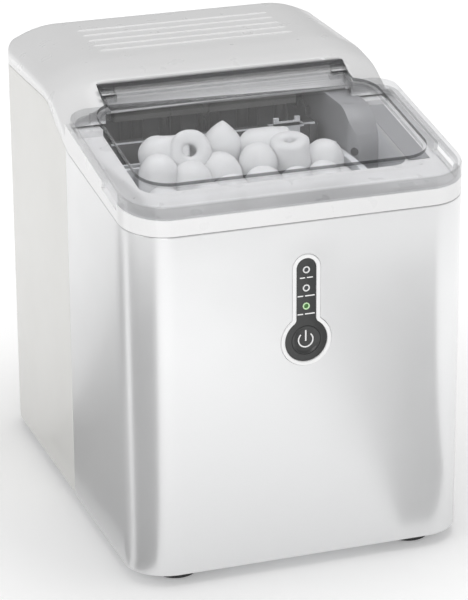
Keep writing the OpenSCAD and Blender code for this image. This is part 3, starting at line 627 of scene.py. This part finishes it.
def make_button():
    """Round button with a shallow dish, and the standby sign in it."""
    dish = [(11.8, FACE_Y + 4.6), (11.8, FACE_Y + 3.1), (BUTTON_R, FACE_Y + 3.1), (BUTTON_R, FACE_Y + 0.5),
            (10.05, FACE_Y + 0.2), (9.8, FACE_Y + 0.1), (9.5, FACE_Y + 0.14), (8.9, FACE_Y + 0.6),
            (8.2, FACE_Y + 0.95), (7.2, FACE_Y + 1.1), (5, FACE_Y + 1.15), (2, FACE_Y + 1.2)]
    dish_mesh = turned(dish, (0, BUTTON_Z), "dish", count=96)
    make_piece("power_button_dish", dish_mesh, "dark_fascia", "power_button",
               replaces=["power_button"], sharp=50)
    near, far, gap = FACE_Y + 0.85, FACE_Y + 1.3, 42
    section = ((4.7, far), (4.7, near), (5.6, near), (5.6, far))
    rings = []
    for k in range(41):
        a = math.radians(90 + gap + (360 - 2 * gap) * k / 40)
        rings.append([(r * math.cos(a), y, BUTTON_Z + r * math.sin(a)) for r, y in section])
    bar = box_mesh((-0.5, near, BUTTON_Z - 0.9), (0.5, far, BUTTON_Z + 6.9))
    make_piece("power_sign", joined([loft(rings, "sign"), bar], "sign"), "white_mark", "power_button",
               replaces=["power_symbol"], bevel=0.08)


# ---- top cover ----

def dome_height(y):
    """The dome's middle line as a running mean, so that its corners are round, with a round rear edge."""
    flat_end = HALF_D - REAR_BEND
    line = DOME_LINE + [(flat_end, DOME_Z)]
    total = 0
    for k in range(-6, 7):
        total += along(line, min(max(y, -20) + k * 1.2, flat_end)) / 13
    bend = max(0, y - flat_end)
    if bend:
        total -= REAR_BEND - math.sqrt(max(0, REAR_BEND ** 2 - bend ** 2))
    return total - 0.12 - 0.7 * smoothstep((y - 4) / 30)


def dome_top(x, y, blend=14):
    """Height of the smooth dome: the middle line, falling away softly beyond the ridges."""
    past = abs(x) - RIDGE_X
    fall = 0 if past < -blend else past if past > blend else (past + blend) ** 2 / (4 * blend)
    return dome_height(y) - fall * RIDGE_FALL


def dome_envelope():
    """Closed solid under the smooth dome."""
    path = plan_path(COVER_Y, False, 6)
    rings = [[(x - nx * 0.04, y - ny * 0.04, UNDER) for x, y, nx, ny in path]]
    for inset in (0.04, 0.35, 0.9, 1.8, 3, 4.5, 6.2, 8.5):
        ring = []
        for x, y, nx, ny in path:
            px, py = x - nx * inset, y - ny * inset
            edge = 1 + 5.5 * (1 - abs(ny))
            # edge is the radius of the rim's rounding: wider at the sides than at the back
            deep = max(0, edge - inset)
            drop = edge - math.sqrt(max(0, edge ** 2 - deep ** 2))
            ring.append((px, py, dome_top(px, py) - drop))
        rings.append(ring)
    inner = [(x, y) for x, y, z in rings[-1]]
    steps = 26
    for share in [k / steps for k in range(1, steps + 1)]:
        # The rings close in on a line down the middle that stops short of the back
        ring = []
        for x, y in inner:
            spine = min(y, HALF_D - 60)
            px, py = x * (1 - share), y + (spine - y) * share
            ring.append((px, py, dome_top(px, py)))
        rings.append(ring)
    bm = bmesh.new()
    rows = [[bm.verts.new(mm(*p)) for p in ring] for ring in rings]
    for a, b in zip(rows, rows[1:]):
        for k in range(len(a) - 1):
            bm.faces.new((a[k], a[k + 1], b[k + 1], b[k]))
    bm.faces.new([row[0] for row in rows] + [row[-1] for row in reversed(rows)])
    bm.faces.new(rows[0])
    bmesh.ops.remove_doubles(bm, verts=bm.verts, dist=WELD)
    bmesh.ops.dissolve_degenerate(bm, edges=bm.edges, dist=1e-7)
    bmesh.ops.triangulate(bm, faces=bm.faces)
    return mesh_of(bm, "envelope")


def make_cover():
    """Top cover: the CAD's own surround of the lid in front, a smooth dome behind, five lines on it."""
    whole = cad_copy("top_cover")
    fore = cut(whole.copy(), [box_mesh((-200, -200, UNDER), (200, COVER_Y, 400))], "INTERSECT")
    dome = cut(whole, [dome_envelope()], "INTERSECT")
    mesh = joined([merge_flat(fore), dome], "cover")
    make_piece("top_cover_shell", mesh, "white_cover", replaces=["top_cover"], sharp=28)
    for k, y in enumerate(DOME_LINES_Y):
        make_rib(f"dome_line_{k + 1}", y)


def make_rib(name, y, half=73.7, width=2.3, proud=0.78, sunk=0.4):
    """Low rounded raised line across the dome, whiter than the dome as a painted highlight."""
    rings = []
    for k in range(-20, 21):
        x = half * math.sin(math.pi / 2 * k / 20)
        taper = math.sqrt(max(0, 1 - (abs(x) / half) ** 40))
        foot = dome_top(x, y) - sunk
        ring = []
        for m in range(9):
            a = math.pi * m / 8
            rise = (sunk + proud) * taper * math.sin(a) ** 0.45
            ring.append((x, y - width / 2 * taper * math.cos(a), foot + rise))
        rings.append(ring)
    # The white_mark look is a painted highlight for the light on the raised line's top
    make_piece(name, loft(rings, name), "white_cover", look="white_mark")


# ---- lid ----

def make_lid(radius=2.3, loose=0.02):
    """The clear lid, inside a solid that rounds the outer top edge of its border."""
    edge = [(radius * (1 - math.cos(a)) - loose, -radius * (1 - math.sin(a)))
            for a in (math.radians(15 * k) for k in range(7))]
    rings = []
    for inset, rise in [(-loose, None)] + edge + [(radius - loose, 80)]:
        ring = []
        for x, y, nx, ny in plan_path(14, True):
            px, py = x - nx * inset, y - ny * inset
            top = LID_TOP + LID_SLOPE * (py + HALF_D)
            ring.append((px, py, UNDER if rise is None else top + rise))
        rings.append(ring)
    lid = cut(cad_copy("lid"), [loft(rings, "lid_envelope")], "INTERSECT")
    make_piece("lid_shell", merge_flat(lid), "clear_lid", "lid", replaces=["lid"], sharp=30)


# ---- grey plate on the ledge ----

def make_ledge_plate(thick=0.8):
    """Grey plate lying on the sloping ledge at the motor housing's right."""
    ledge = 281.45
    plan = [(96.3, -104), (112, -104), (112, -12), (96.3, -12)]
    rings = [[(x, y, ledge + LID_SLOPE * y + lift) for x, y in plan] for lift in (0.05, thick)]
    make_piece("grey_ledge_plate", loft(rings, "ledge_plate"), "grey_plastic", bevel=0.3)


# ---- ice shovel ----

def make_shovel():
    """The shovel in two tones: dark comb and arms, pale pronged lug, and a pale strip on the lip that is a
    painted highlight along its front edge.
    """
    lug_box = box_mesh((34, -20, 257), (60, 20, 280))
    # Pale slice along the lip's front: painted highlight
    lip_highlight_box = box_mesh((-90, 2, 263.3), (70, 4.2, 266))
    lug, lip = (cut(cad_copy("ice_shovel"), [box.copy()], "INTERSECT") for box in (lug_box, lip_highlight_box))
    comb = cut(cad_copy("ice_shovel"), [lug_box, lip_highlight_box])
    parts = (("comb", comb, "tray_plastic"), ("lug", lug, "white_liner"), ("lip", lip, "white_liner"))
    for name, mesh, slot in parts:
        make_piece("ice_shovel_" + name, merge_flat(mesh), slot, "ice_tray",
                   replaces=["ice_shovel"], bevel=0.2)


# ---- ice ----

def bullet_mesh(name, length, radius, seed, point=0.0):
    """Hollow piece of ice round one cold finger: round or pointed nose at the bottom, hole at the top."""
    rnd = random.Random(seed)
    bore = radius * rnd.uniform(0.24, 0.3)
    outer = []
    for k in range(15):
        a = math.pi / 2 * k / 14
        outer.append((radius * math.sin(a) ** (1 + point), -radius * (1 + 0.4 * point) * math.cos(a)))
    straight = length - radius
    outer += [(radius * (1 + 0.012 * math.sin(3 * k)), straight * k / 8) for k in range(1, 8)]
    lip = radius - bore
    for k in range(9):
        a = math.pi * k / 8
        outer.append((radius - lip / 2 * (1 - math.cos(a)), straight + lip * 0.3 * math.sin(a)))
    outer += [(bore * (1 - 0.1 * k / 5), straight - (length - 0.7 * radius) * k / 5) for k in range(1, 5)]
    outer += [(bore * 0.5, straight - length + 0.6 * radius), (0, straight - length + 0.5 * radius)]
    waves = [(rnd.uniform(0, 6.28), rnd.uniform(0.006, 0.02), n) for n in (2, 3, 5)]
    rings = []
    for r, h in outer:
        ring = []
        for k in range(40):
            a = 2 * math.pi * k / 40
            wave = 1 + sum(size * math.sin(n * a + phase + h * 0.06 * n) for phase, size, n in waves)
            ring.append((max(r, 0.02) * wave * math.cos(a), max(r, 0.02) * wave * math.sin(a), h))
        rings.append(ring)
    return loft(rings, name)


def make_ice():
    """Ice in the basket: the pieces that show on top, each with its place, size, turn and pointedness."""
    shown = [
        ((-66, -46, 270), 13, 32, (92, 0, 78), 0), ((-72, -68, 264), 13.5, 30, (165, 6, 0), 0),
        ((-43, -47, 268), 14.5, 30, (62, 0, -16), 0), ((-50, -74, 258), 14, 30, (150, 10, 20), 0),
        ((-15, -34, 266.5), 14, 34, (176, 4, 0), 0.8), ((-27, -66, 258), 15, 32, (168, -6, 0), 0.1),
        ((8, -40, 266), 12.5, 34, (90, 4, 84), 0), ((2, -62, 262), 13.5, 32, (-158, 0, -14), 0.1),
        ((-2, -84, 252), 14, 30, (150, 20, 0), 0), ((27, -60, 256), 13.5, 32, (8, -7, 0), 0),
        ((52, -58, 258), 13.5, 32, (176, -5, 0), 0), ((44, -80, 250), 13.5, 30, (120, 25, 20), 0),
        ((-48, -83, 249), 13, 28, (100, 20, 40), 0), ((54, -82, 246), 13, 30, (170, 10, 0), 0),
        ((-74, -86, 248), 12.5, 28, (150, 0, 30), 0), ((22, -86, 250), 13.5, 30, (165, 14, 0), 0),
        ((-26, -86, 250), 13.5, 30, (160, -14, 0), 0),
    ]
    for k, (at, radius, length, turn, point) in enumerate(shown):
        mesh = bullet_mesh("ice", length, radius, k, point)
        piece = make_piece(f"ice_bullet_{k + 1:02d}", mesh, "ice", "ice_basket")
        turns = [Matrix.Rotation(math.radians(angle), 4, axis) for angle, axis in zip(turn, "XYZ")]
        piece.matrix_world = Matrix.Translation(mm(*at)) @ turns[2] @ turns[1] @ turns[0]


# ---- CAD nodes that stay ----

def finish_cad_nodes():
    """Rounds the edges of the CAD nodes that show, and gives every one its slot's material."""
    for part in frame["record"]["subparts"]:
        node = nodes[part["node"]]
        node.data.materials.clear()
        node.data.materials.append(MATS[part["material_slot"]])
        weld = node.modifiers.new("weld", "WELD")
        weld.merge_threshold = 2 * WELD
        flat = node.modifiers.new("flat", "DECIMATE")
        flat.decimate_type, flat.angle_limit = "DISSOLVE", math.radians(0.5)
        add_bevel(node, BEVELS.get(part["node"], SMALL_BEVEL))


# ---- floor ----

def make_floor(half=6000):
    """Seamless pale floor whose glow grows away from the object: painted shade round the object, a white
    sweep further out.
    """
    rows = [[(-half, y, 0), (half, y, 0)] for y in (-half, half)]
    mesh = loft(rows, "floor", wrap_points=False, caps=False)
    floor = place("floor", mesh)
    m = Mat("floor_paint", (0.93, 0.93, 0.93), 0.6, Emission_Color=(1, 1, 1, 1), Specular_IOR_Level=0.1)
    m.feed(m.ramp(m.noise(3, 4), [(0.3, (0.925,) * 3), (0.7, (0.935,) * 3)]), "Base Color")
    away = m.tree.nodes.new("ShaderNodeVectorMath")
    away.operation = "LENGTH"
    m.tree.links.new(m.coords.outputs["Object"], away.inputs[0])
    # Glow by distance from the middle: low near the object as painted shade, high far out
    m.feed(m.spread(away.outputs["Value"], 0.2, 0.62, 0.18, 0.6), "Emission Strength")
    mesh.materials.append(m.mat)


make_camera()
make_studio()
make_floor()
make_flag("corner_flag", [(-119, -170), (-800, -1300), (-1400, 300), (-128, -140)], 0.25)
make_flag("side_flag", [(-128, -130), (-900, 400), (-600, 900), (-126, 100)], 0.5)
make_flag("front_flag", [(80, -180), (190, -180), (600, -1000), (270, -1000)], 0.55)
finish_cad_nodes()
make_casings()
make_panel()
make_button()
make_cover()
make_lid()
make_ledge_plate()
make_shovel()
make_ice()
